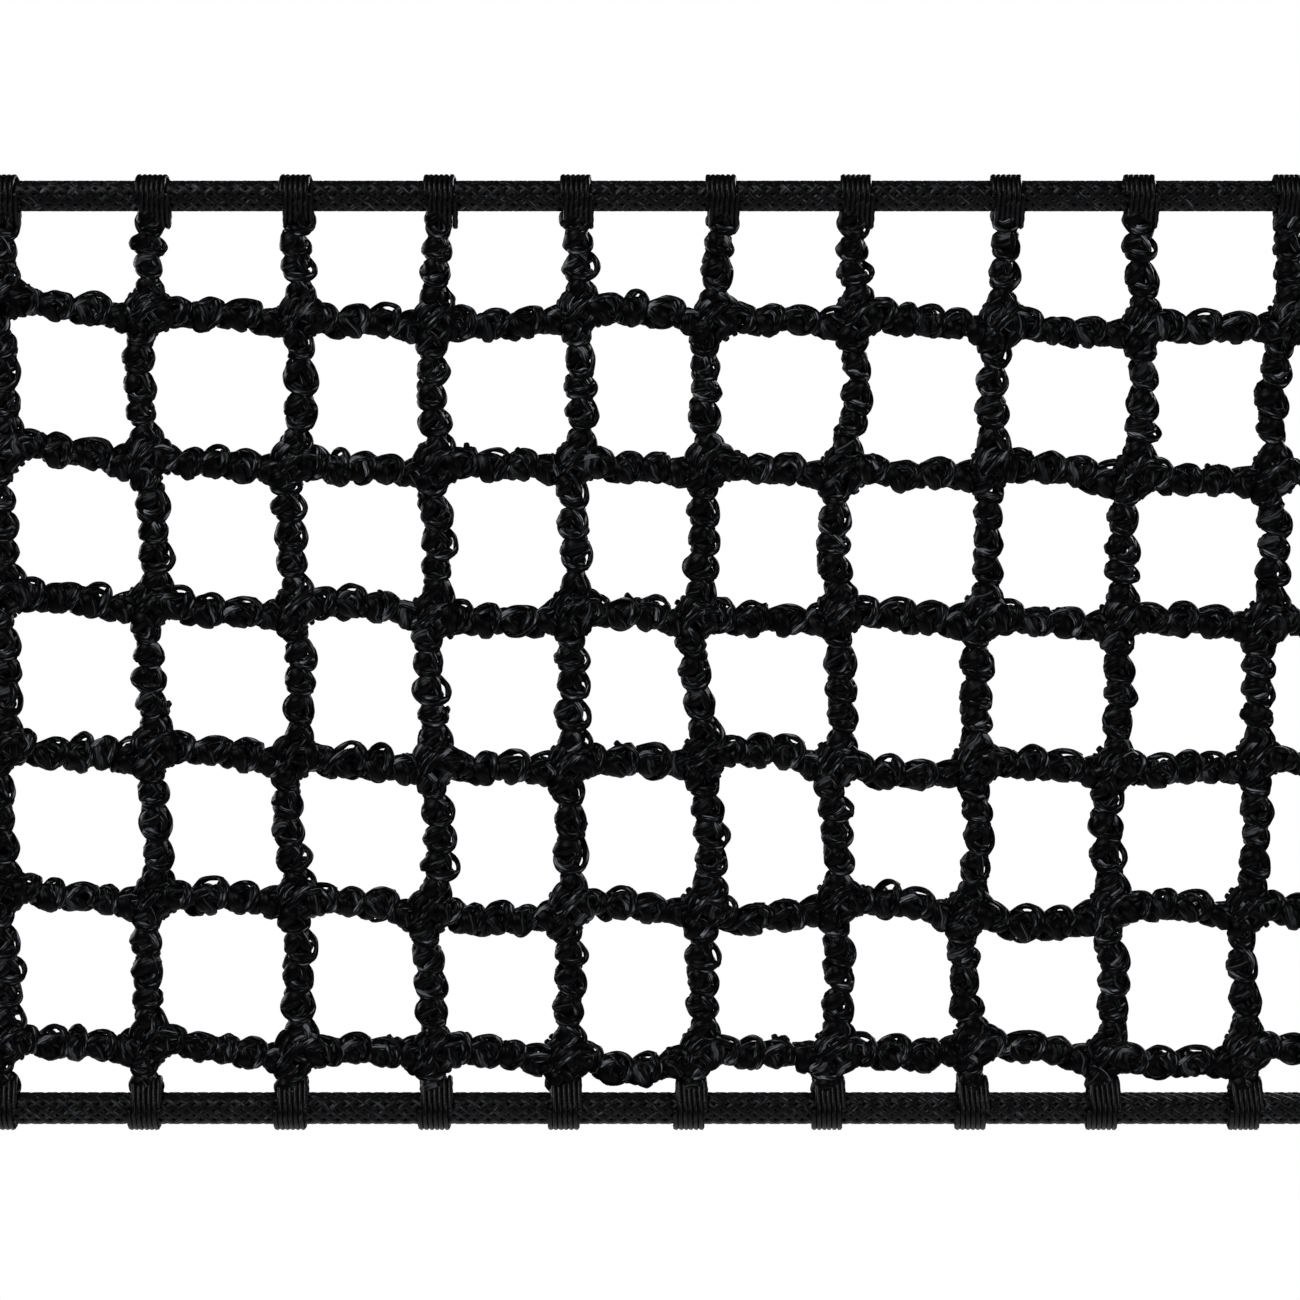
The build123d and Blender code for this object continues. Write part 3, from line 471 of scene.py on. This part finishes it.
# Crossing: loops and ties over the place where two chains meet. x right, z up,
# d out of the front, half width, half depth, in mm from the crossing
# each entry: kind, strength of its painted highlight, then its table
CROSS = [
    # the ties that cross from the upper right to the lower left, on the front
    ("tie", 1.4, [(6.6, 4.0, 0.2, 0.9, 0.7), (4.6, 3.6, 2.4, 1.1, 0.8), (1.8, 1.8, 3.9, 1.2, 0.85), (-1.0, -1.2, 4.1, 1.2, 0.85), (-3.2, -3.6, 3.0, 1.1, 0.8), (-4.4, -5.6, 0.6, 0.9, 0.7)]),
    ("tie", 1.45, [(5.4, 5.6, 0.0, 0.9, 0.7), (3.0, 4.6, 2.4, 1.1, 0.8), (0.2, 2.4, 3.7, 1.2, 0.85), (-2.4, -0.4, 3.7, 1.2, 0.85), (-4.8, -2.4, 2.4, 1.1, 0.8), (-6.6, -3.8, 0.2, 0.9, 0.7)]),
    # the loop that bulges over the upper left corner
    ("arc", 1.0, [(0.6, 7.0, 0.6, 0.9, 0.7), (-2.6, 6.4, 1.6, 1.1, 0.8), (-5.0, 3.9, 1.8, 1.2, 0.85), (-6.2, 1.0, 1.4, 1.1, 0.8), (-5.8, -1.8, 0.4, 0.9, 0.7)]),
    ("arc", 0.8, [(1.6, 6.0, 1.6, 1.0, 0.8), (-1.2, 5.2, 2.7, 1.3, 0.95), (-3.4, 2.9, 3.0, 1.4, 1.0), (-4.2, 0.3, 2.6, 1.3, 0.95), (-4.0, -2.4, 1.2, 1.0, 0.8)]),
    # the fat loop at the lower right corner
    ("pillow", 0.5, [(6.8, 0.6, 0.2, 1.2, 1.0), (5.4, -1.6, 1.6, 1.8, 1.3), (3.6, -3.7, 1.9, 2.0, 1.4), (1.6, -5.6, 1.5, 1.7, 1.2), (0.2, -7.6, 0.2, 1.1, 0.9)]),
    ("arc", 1.1, [(7.6, -1.6, 0.2, 0.8, 0.65), (6.2, -3.5, 1.3, 0.9, 0.7), (4.0, -5.0, 1.6, 0.95, 0.7), (2.2, -7.0, 0.8, 0.8, 0.65)]),
    # the small bump at the upper right, and the one that hangs at the lower left
    ("arc", 0.9, [(3.0, 6.6, 0.2, 0.8, 0.7), (4.6, 5.4, 1.5, 1.0, 0.8), (6.6, 4.2, 1.4, 1.0, 0.8), (8.4, 2.4, 0.3, 0.8, 0.7)]),
    ("pillow", 0.3, [(-5.0, 0.6, 0.2, 1.1, 0.9), (-6.4, -1.6, 1.8, 1.6, 1.2), (-7.6, -3.2, 1.5, 1.8, 1.3), (-9.2, -3.4, 0.2, 1.4, 1.1), (-10.2, -1.8, -1.2, 0.9, 0.8)]),
    ("arc", 1.2, [(-5.4, -2.6, -1.0, 0.8, 0.65), (-6.6, -4.4, 0.9, 0.85, 0.65), (-8.6, -4.6, 1.4, 0.85, 0.65), (-10.0, -2.6, 1.2, 0.8, 0.6)]),
    # a crossing core from upper left to lower right
    ("core", 0.7, [(-4.6, 4.8, 0.4, 1.1, 0.9), (-2.2, 2.4, 2.4, 1.6, 1.2), (0.6, -0.4, 2.9, 1.7, 1.25), (3.0, -2.4, 2.2, 1.5, 1.1), (5.4, -4.2, 0.4, 1.0, 0.8)]),
    # body behind
    ("fill", 0.15, [(-5.6, 1.4, -0.3, 1.8, 1.6), (-2.6, -0.4, -0.2, 3.0, 2.2), (0.2, 0.2, -0.1, 3.6, 2.5), (2.8, 0.6, -0.2, 3.0, 2.2), (5.8, -1.2, -0.3, 1.8, 1.6)]),
    ("fill", 0.15, [(1.0, 6.4, -0.3, 1.6, 1.4), (0.6, 3.2, -0.2, 2.8, 2.1), (-0.4, -3.2, -0.2, 2.8, 2.1), (-0.8, -6.6, -0.3, 1.6, 1.4)]),
    # back: the ties return the other way
    ("back", 1.0, [(-6.2, 4.0, -0.4, 0.9, 0.7), (-4.0, 2.8, -2.6, 1.2, 0.85), (-1.2, 0.8, -3.6, 1.3, 0.9), (1.8, -1.2, -3.6, 1.3, 0.9), (4.4, -3.2, -2.4, 1.2, 0.85), (6.2, -4.8, -0.4, 0.9, 0.7)]),
    ("back", 0.7, [(-4.6, 6.0, -0.4, 1.0, 0.8), (-2.4, 4.2, -2.4, 1.4, 1.0), (0.6, 2.4, -3.2, 1.6, 1.1), (3.4, 0.8, -2.8, 1.5, 1.05), (6.0, -0.8, -1.2, 1.1, 0.9)]),
    ("back", 0.6, [(-6.4, -0.4, -1.0, 1.1, 0.9), (-3.6, -1.8, -2.7, 1.5, 1.05), (-0.8, -3.0, -3.2, 1.6, 1.1), (1.8, -4.6, -2.5, 1.4, 1.0), (3.6, -6.6, -0.6, 1.0, 0.8)]),
    ("back", 1.1, [(5.6, 4.8, 0.2, 0.9, 0.7), (4.6, 3.0, -2.2, 1.1, 0.8), (2.2, 0.4, -4.0, 1.1, 0.8), (-0.6, -1.8, -4.1, 1.1, 0.8), (-3.6, -3.8, -2.6, 1.1, 0.8), (-5.6, -5.4, 0.0, 0.9, 0.7)]),
]


def crossing(mesh, c, rng, arms=(True, True, True, True)):
    """Ties and loops of one crossing at c (x, z)."""
    turn = rng.normal(0, 0.10)
    ct, st = math.cos(turn), math.sin(turn)
    size = rng.uniform(0.93, 1.04)
    for kind, highlight_tone, table in CROSS:
        t = np.asarray(table, float).copy()
        t[:, :2] += rng.normal(0, 0.28, (len(t), 2))
        t[:, 2] += rng.normal(0, 0.16, len(t))
        q = smooth_path(t, 18 if kind != "fill" else 9)
        x, z = q[:, 0] * size, q[:, 1] * size
        x, z = x * ct - z * st, x * st + z * ct
        p = np.column_stack([c[0] + x, -q[:, 2], c[1] + z])
        out = np.column_stack([x * 0.12, -q[:, 2], z * 0.12])
        mesh.tube(p, q[:, 3], q[:, 4], out, sides=12 if kind != "fill" else 10, highlight_tone=highlight_tone * rng.uniform(0.6, 1.25), seed=float(rng.random()),
                  lobes=0 if kind == "fill" else 3, lobe=0.07, twist=rng.uniform(-0.35, 0.35), phase=rng.uniform(0, 6.28))


rng = np.random.default_rng(20417)
A_OFF, B_OFF = np.array([2.3, 2.3]), np.array([-2.3, -2.3])

gap_mesh = [Mesh(f"knitted_uprights_gap_{g + 1}", knit, "knitted_cord") for g in range(ROWS)]
row_mesh = [Mesh(f"knitted_row_cord_{k + 1}", knit, "knitted_cord") for k in range(ROWS)]
cross_mesh = [Mesh(f"knitted_crossings_row_{k + 1}", knit, "knitted_cord") for k in range(ROWS)]
tail_mesh = Mesh("knitted_tails_bottom", knit, "knitted_cord")

# uprights
for j in range(COLS):
    for g in range(ROWS):
        low = junction(g, j)
        if g == 0:
            top = np.array([CX + TOP_TAIL_X[j], TOP_Z - 3.2])
            mid = (top + low) / 2 + [rng.normal(0, 0.4), 0]
            pts = [top, mid, low + [0.3, 8.0], low + A_OFF]
            line = Line2(pts)
            chain(gap_mesh[0], line, rng, 8.2, narrow_ends=(0.9, 0.84))
        else:
            up = junction(g - 1, j)
            bow = UPRIGHT_BOW[g - 1][j]
            mid = np.array([up[0] + (low[0] - up[0]) * 0.5 + bow, (up[1] + low[1]) / 2])
            q1 = up * 0.74 + low * 0.26 + [bow * 0.75 - 0.55, 0]
            q3 = up * 0.26 + low * 0.74 + [bow * 0.75 + 0.45, 0]
            line = Line2([up + B_OFF, q1, mid, q3, low + A_OFF], y=rng.normal(0, 0.35, 5))
            chain(gap_mesh[g], line, rng, rng.uniform(8.0, 9.4))
    low = junction(ROWS - 1, j)
    end = np.array([CX + BOTTOM_TAIL_X[j], BOTTOM_Z + 3.2])
    line = Line2([low + B_OFF, low * 0.4 + end * 0.6 + [-0.3, 0], end])
    chain(tail_mesh, line, rng, 7.5, narrow_ends=(0.84, 0.9))

# rows
for k in range(ROWS):
    first = junction(k, 0)
    line = Line2([[LEFT_X + 3.4, first[1] - 0.2], first + [-5.5, -0.9], first + B_OFF])
    chain(row_mesh[k], line, rng, 8.0, narrow_ends=(0.9, 0.84))
    for j in range(COLS - 1):
        a, b = junction(k, j), junction(k, j + 1)
        bow = ROW_BOW[k][j]
        mid = np.array([(a[0] + b[0]) / 2, a[1] + (b[1] - a[1]) * 0.5 + bow])
        q1 = a * 0.74 + b * 0.26 + [0, bow * 0.7 - 0.2]
        q3 = a * 0.26 + b * 0.74 + [0, bow * 0.7 - 0.9]
        line = Line2([a + A_OFF, q1, mid, q3, b + B_OFF], y=rng.normal(0, 0.35, 5))
        chain(row_mesh[k], line, rng, rng.uniform(8.4, 10.8), wide=1.03, fill=1.36, over=(-0.58, -0.36))
    last = junction(k, COLS - 1)
    end = np.array([RIGHT_X - 3.4, CZ + RIGHT_TAIL_Z[k]])
    pts = [last + A_OFF, last * 0.45 + end * 0.55 + [0, 0.2], end]
    chain(row_mesh[k], Line2(pts), rng, 8.8, narrow_ends=(0.84, 0.9))
    for j in range(COLS):
        crossing(cross_mesh[k], junction(k, j), rng)

# ---------------------------------------------------------------------------
# Border rope: sixteen strands braided over and under on a core
# ---------------------------------------------------------------------------
NECK_U = ROPE_R + NECK_GAP / 2 + NECK_ROPE_R
NECK_S = NECK_ROPE_R * math.sqrt(2) - NECK_U
amp = math.hypot(EYE_OUT - NECK_S, NECK_U)
ALPHA = math.asin((EYE_ROPE_R + NECK_ROPE_R) / amp) - math.atan2(NECK_U, EYE_OUT - NECK_S)


def arc(c, r, a0, a1, n):
    a = np.linspace(a0, a1, n)
    return np.column_stack([c[0] + r * np.cos(a), c[1] + r * np.sin(a)])


def corner_path(cx, cz, sx, sz):
    """The rope's centre line round one corner eye, side rope first."""
    back = (NECK_S + NECK_U) / 2
    t1 = np.array([NECK_S - back, NECK_U - back])
    neck = np.array([NECK_S, NECK_U])
    n = np.array([-math.sin(ALPHA), math.cos(ALPHA)])
    p2 = np.array([EYE_OUT, 0]) + EYE_ROPE_R * n
    heads = np.linspace(-math.pi / 4, ALPHA, 20)
    bend = neck + NECK_ROPE_R * np.column_stack([np.sin(heads), -np.cos(heads)])
    a_in = math.atan2(p2[1], p2[0] - EYE_OUT)
    loop = arc((EYE_OUT, 0), EYE_ROPE_R, a_in, -a_in, 60)
    x_side = np.vstack([bend, loop])              # from the top rope out round the eye
    z_side = bend[::-1] * [1, -1]
    su = np.vstack([x_side, z_side])[::-1]        # side rope -> eye -> top rope
    out = np.array([sx, sz]) / math.sqrt(2)
    side = np.array([-sx, sz]) / math.sqrt(2)
    return np.array([cx, cz]) + su[:, :1] * out + su[:, 1:] * side


def braid(mesh, path, rng, step=1.0, start_phase=0.0):
    """path: N x 2 in the net's plane, mm. Eight strands each way round."""
    p3 = np.column_stack([path[:, 0], np.zeros(len(path)), path[:, 1]])
    p, length = even(p3, step=step)
    n = len(p)
    t = np.gradient(p, axis=0)
    t /= np.linalg.norm(t, axis=1, keepdims=True)
    nv = np.cross(t, [0, 1.0, 0])
    nv /= np.linalg.norm(nv, axis=1, keepdims=True)
    s = np.linspace(0, length, n)
    pitch, count = 34.0, 8
    # the core, mostly hidden under the strands, gets little painted highlight
    mesh.tube(p, 3.9, 3.9, nv, sides=16, highlight_tone=0.1)
    for way in (1, -1):
        for i in range(count):
            ang = way * 2 * np.pi * (s / pitch) + 2 * np.pi * i / count + start_phase
            # a strand goes over and under the strands that wind the other way
            lift = np.sin(2 * np.pi * s / pitch * count / 2 + np.pi * i + (0 if way > 0 else np.pi))
            r = 4.25 + 0.28 * lift
            rad = nv * np.cos(ang)[:, None] + np.array([0, 1.0, 0]) * np.sin(ang)[:, None]
            q = p + rad * r[:, None]
            mesh.tube(q, 1.12, 0.55, rad, sides=8, highlight_tone=rng.uniform(0.5, 1.1), seed=float(rng.random()), lobes=0)


def round_rope_piece(name, path, phase=0.0):
    m = Mesh(name, rope_mat, "border_rope")
    braid(m, path, rng, step=1.1, start_phase=phase)
    return m


top_left = corner_path(LEFT_X, TOP_Z, -1, 1)
top_right = corner_path(RIGHT_X, TOP_Z, 1, 1)[::-1]
bot_left = corner_path(LEFT_X, BOTTOM_Z, -1, -1)
bot_right = corner_path(RIGHT_X, BOTTOM_Z, 1, -1)[::-1]
SIDE_FROM = 10.0     # a side length bends within this distance of its fold line
top_path = np.vstack([[LEFT_X, fold_z[0] + SIDE_FROM * 0.9], top_left, top_right, [RIGHT_X, fold_z[0] + SIDE_FROM * 0.9]])
bot_path = np.vstack([[LEFT_X, fold_z[-1] - SIDE_FROM], bot_left, bot_right, [RIGHT_X, fold_z[-1] - SIDE_FROM]])
rope_top = round_rope_piece("braided_rope_top", top_path)
rope_bottom = round_rope_piece("braided_rope_bottom", bot_path)

built = {}
for k in range(ROWS):
    # one length per fold: from row k-1's lashing to row k's
    hi = (fold_z[0] + SIDE_FROM * 0.9) if k == 0 else (fold_z[k - 1] + fold_z[k]) / 2
    lo = (fold_z[k] + fold_z[k + 1]) / 2 if k < ROWS - 1 else fold_z[-1] - SIDE_FROM
    for name, x in (("left", LEFT_X), ("right", RIGHT_X)):
        m = Mesh(f"braided_rope_{name}_{k + 1}", rope_mat, "border_rope")
        braid(m, np.array([[x, hi + 0.3], [x, (hi + lo) / 2], [x, lo - 0.3]]), rng, step=1.1, start_phase=-2 * np.pi * hi / 34.0)
        built[f"rope_{name}_{k}"] = m


# ---------------------------------------------------------------------------
# Lashing twine: turns round the rope and through the cord's last loops
# ---------------------------------------------------------------------------
def turns(centre, axis, along, inner, count, rng, reach=3.6):
    """Turns of twine round the rope. axis is the rope's direction and inner
    points at the cord that is tied; the turns reach past the rope there."""
    c = np.array([centre[0], 0, centre[1]])
    a = np.array([axis[0], 0, axis[1]], float)
    i = np.array([inner[0], 0, inner[1]], float)
    n = count * 22
    th = np.linspace(0, 2 * np.pi * count, n) + np.pi / 2
    s = np.linspace(-along / 2, along / 2, n) + np.clip(rng.normal(0, 0.08, n // 22), -0.12, 0.12).repeat(22)[:n]
    s = np.convolve(np.pad(s, 8, mode="edge"), np.ones(17) / 17, mode="valid")
    r_in = 5.95 + reach * np.clip(np.cos(th), 0, 1) ** 2
    r = np.where(np.cos(th) > 0, r_in, 5.95)
    flat = 1 - 0.12 * np.clip(np.cos(th), 0, 1)
    return c + a * s[:, None] + i * (r * np.cos(th))[:, None] + np.array([0, -1.0, 0]) * (5.95 * flat * np.sin(th))[:, None]


def twine(mesh, pts, r=0.85, highlight_tone=0.8, phase=0.0):
    p, _ = even(smooth_path(pts, len(pts) * 2), step=0.75)
    t = np.gradient(p, axis=0)
    ref = np.tile([0.31, 0.9, 0.29], (len(p), 1))
    mesh.tube(p, r, r, ref, sides=9, highlight_tone=highlight_tone, seed=phase, lobes=3, lobe=0.10, twist=2.1, phase=phase)


lash_top = Mesh("twine_lashing_top", twine_mat, "twine")
lash_bottom = Mesh("twine_lashing_bottom", twine_mat, "twine")
for mesh, xs, z, inner in ((lash_top, TOP_TAIL_X, TOP_Z, (0, -1)), (lash_bottom, BOTTOM_TAIL_X, BOTTOM_Z, (0, 1))):
    for i, x in enumerate(xs):
        pts = turns((CX + x, z), (1, 0), 9.6, inner, 6, rng)
        twine(mesh, pts, phase=float(rng.random()))
        if i < len(xs) - 1:
            # behind the rope to the next lashing
            x0, x1 = CX + x + 4.4, CX + xs[i + 1] - 4.4
            u = np.linspace(0, 1, 12)
            run = np.column_stack([x0 + (x1 - x0) * u, 5.95 + 0.1 * np.sin(9 * u), z + 0.9 * np.sin(np.pi * u) * inner[1] + 0.25 * np.sin(14 * u)])
            twine(mesh, run, phase=float(rng.random()))

side_lash = []
for k in range(ROWS):
    m = Mesh(f"twine_lashing_sides_{k + 1}", twine_mat, "twine")
    for x, z, inner in ((LEFT_X, junction(k, 0)[1], (1, 0)), (RIGHT_X, CZ + RIGHT_TAIL_Z[k], (-1, 0))):
        if k == ROWS - 1:
            z = max(z, BOTTOM_Z + 18.5)
        pts = turns((x, z), (0, 1), 9.6, inner, 6, rng)
        twine(m, pts, phase=float(rng.random()))
    side_lash.append(m)

# seizings round the necks of the eyes
seizings = {}
for name, cx, cz, sx, sz in (("top_left", LEFT_X, TOP_Z, -1, 1), ("top_right", RIGHT_X, TOP_Z, 1, 1),
                             ("bottom_left", LEFT_X, BOTTOM_Z, -1, -1), ("bottom_right", RIGHT_X, BOTTOM_Z, 1, -1)):
    out = np.array([sx, 0, sz]) / math.sqrt(2)
    side = np.array([-sx, 0, sz]) / math.sqrt(2)
    c = np.array([cx, 0, cz])
    count = 5
    n = count * 40
    th = np.linspace(0, 2 * np.pi * count, n)
    s = NECK_S - 1.5 + 0.9 + np.linspace(0, 6.6, n)
    # a slot shape: half rounds of the rope's radius at the two legs
    half = ROPE_R + NECK_GAP / 2 + 0.5
    u = half * np.clip(np.cos(th) * 1.6, -1, 1) + (ROPE_R + 0.95) * np.cos(th)
    y = (ROPE_R + 0.95) * np.sign(np.sin(th)) * np.abs(np.sin(th)) ** 0.55
    pts = c + out * s[:, None] + side * u[:, None] + np.array([0, 1.0, 0]) * y[:, None]
    m = Mesh(f"twine_seizing_{name}", twine_mat, "twine")
    twine(m, pts, r=0.82, phase=float(rng.random()))
    # two frapping turns over the middle, between the legs
    th = np.linspace(0, 4 * np.pi, 90)
    s2 = NECK_S + 2.7 + 5.3 * np.cos(th)
    pts = c + out * s2[:, None] + side * (0.9 * np.linspace(-1, 1, 90))[:, None] + np.array([0, 1.0, 0]) * (6.8 * np.sin(th))[:, None]
    twine(m, pts, r=0.8, phase=float(rng.random()))
    seizings[name] = m

# ---------------------------------------------------------------------------
# Pieces on their bodies
# ---------------------------------------------------------------------------
bodies = ["top_edge"] + [f"row_{k + 1}" for k in range(ROWS)]
for g in range(ROWS):
    ob = gap_mesh[g].build()
    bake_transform(ob)
    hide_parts(f"uprights_gap_{g + 1}_upper", f"uprights_gap_{g + 1}_lower")
for k in range(ROWS):
    ob = row_mesh[k].build()
    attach(ob, bodies[k + 1])
    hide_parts(f"row_cord_{k + 1}")
    ob = cross_mesh[k].build()
    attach(ob, bodies[k + 1])
    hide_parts(f"crossings_row_{k + 1}")
    ob = side_lash[k].build()
    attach(ob, bodies[k + 1])
    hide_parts(f"lashing_sides_{k + 1}")
ob = tail_mesh.build()
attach(ob, bodies[-1])
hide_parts("upright_tails_bottom")
ob = rope_top.build()
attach(ob, bodies[0])
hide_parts("border_rope_top", "border_rope_eye_top_left", "border_rope_eye_top_right")
ob = rope_bottom.build()
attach(ob, bodies[-1])
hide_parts("border_rope_bottom", "border_rope_eye_bottom_left", "border_rope_eye_bottom_right")
ob = lash_top.build()
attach(ob, bodies[0])
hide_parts("lashing_top")
ob = lash_bottom.build()
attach(ob, bodies[-1])
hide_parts("lashing_bottom")
for name, m in seizings.items():
    ob = m.build()
    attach(ob, bodies[0] if name.startswith("top") else bodies[-1])
    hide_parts(f"seizing_{name}")
for k in range(ROWS):
    for name in ("left", "right"):
        ob = built[f"rope_{name}_{k}"].build()
        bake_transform(ob)
        if k < ROWS - 1:
            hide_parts(f"border_rope_{name}_{k + 1}")

steel = steel_material()
for name in ("top_left", "top_right", "bottom_left", "bottom_right"):
    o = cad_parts[f"thimble_{name}"]
    for s in o.material_slots:
        s.link = "OBJECT"
        s.material = steel

# ---------------------------------------------------------------------------
# Floor, light and camera
# ---------------------------------------------------------------------------
S = 0.3116
cam_x, cam_z = CX + (650 + 45) * S, CZ + (196 - 650) * S

floor_mesh = bpy.data.meshes.new("floor")
n = 96
ang = np.linspace(0, 2 * np.pi, n, endpoint=False)
floor_z = -0.95
floor_mesh.from_pydata([(cam_x * MM + 1.1 * math.cos(a), 1.1 * math.sin(a), floor_z) for a in ang], [], [list(range(n))])
floor = bpy.data.objects.new("floor", floor_mesh)
bpy.context.scene.collection.objects.link(floor)
fm = Nodes("pale_floor")
fm.bsdf.inputs["Base Color"].default_value = (0.85, 0.85, 0.85, 1)
fm.bsdf.inputs["Roughness"].default_value = 0.8
fm.bsdf.inputs["Emission Color"].default_value = (1.0, 1.0, 1.0, 1)
fm.bsdf.inputs["Emission Strength"].default_value = 0.50
floor_mesh.materials.append(fm.m)

world = bpy.data.worlds.new("studio")
bpy.context.scene.world = world
world.use_nodes = True
wt = world.node_tree
bg = wt.nodes["Background"]
bg.inputs["Color"].default_value = (1, 1, 1, 1)
bg.inputs["Strength"].default_value = 1.0
dim = wt.nodes.new("ShaderNodeBackground")
dim.inputs["Color"].default_value = (0.94, 0.97, 1.0, 1)
dim.inputs["Strength"].default_value = 0.022
path = wt.nodes.new("ShaderNodeLightPath")
pick = wt.nodes.new("ShaderNodeMixShader")
wt.links.new(path.outputs["Is Camera Ray"], pick.inputs[0])
wt.links.new(dim.outputs[0], pick.inputs[1])
wt.links.new(bg.outputs[0], pick.inputs[2])
wt.links.new(pick.outputs[0], wt.nodes["World Output"].inputs["Surface"])


def area(name, where, size, power, look):
    data = bpy.data.lights.new(name, "AREA")
    data.shape = "RECTANGLE"
    data.size, data.size_y = size
    data.energy = power
    o = bpy.data.objects.new(name, data)
    o.location = where
    o.rotation_euler = (Vector(look) - Vector(where)).to_track_quat("-Z", "Y").to_euler()
    bpy.context.scene.collection.objects.link(o)
    return o


centre = (cam_x * MM, 0, cam_z * MM)
area("key", (cam_x * MM - 0.6, -0.9, cam_z * MM + 0.95), (0.35, 0.35), 13.8, centre)
area("fill", (cam_x * MM + 1.1, -0.8, cam_z * MM + 0.15), (0.4, 0.4), 5.0, centre)
area("back_right", (cam_x * MM + 0.9, 1.1, cam_z * MM + 0.6), (0.5, 0.5), 11.0, centre)
area("back_left", (cam_x * MM - 1.0, 0.9, cam_z * MM + 0.2), (0.5, 0.5), 6.0, centre)

scene = bpy.context.scene
scene.view_settings.view_transform = "Standard"
scene.view_settings.look = "None"
cam_data = bpy.data.cameras.new("camera")
cam_data.lens = 100
cam_data.sensor_width = 36
cam_data.clip_start = 0.01
cam = bpy.data.objects.new("camera", cam_data)
half = 650 * S * MM
dist = half / (18 / 100)
cam.location = (cam_x * MM, -dist, cam_z * MM)
cam.rotation_euler = (math.radians(90), 0, 0)
scene.collection.objects.link(cam)
scene.camera = cam
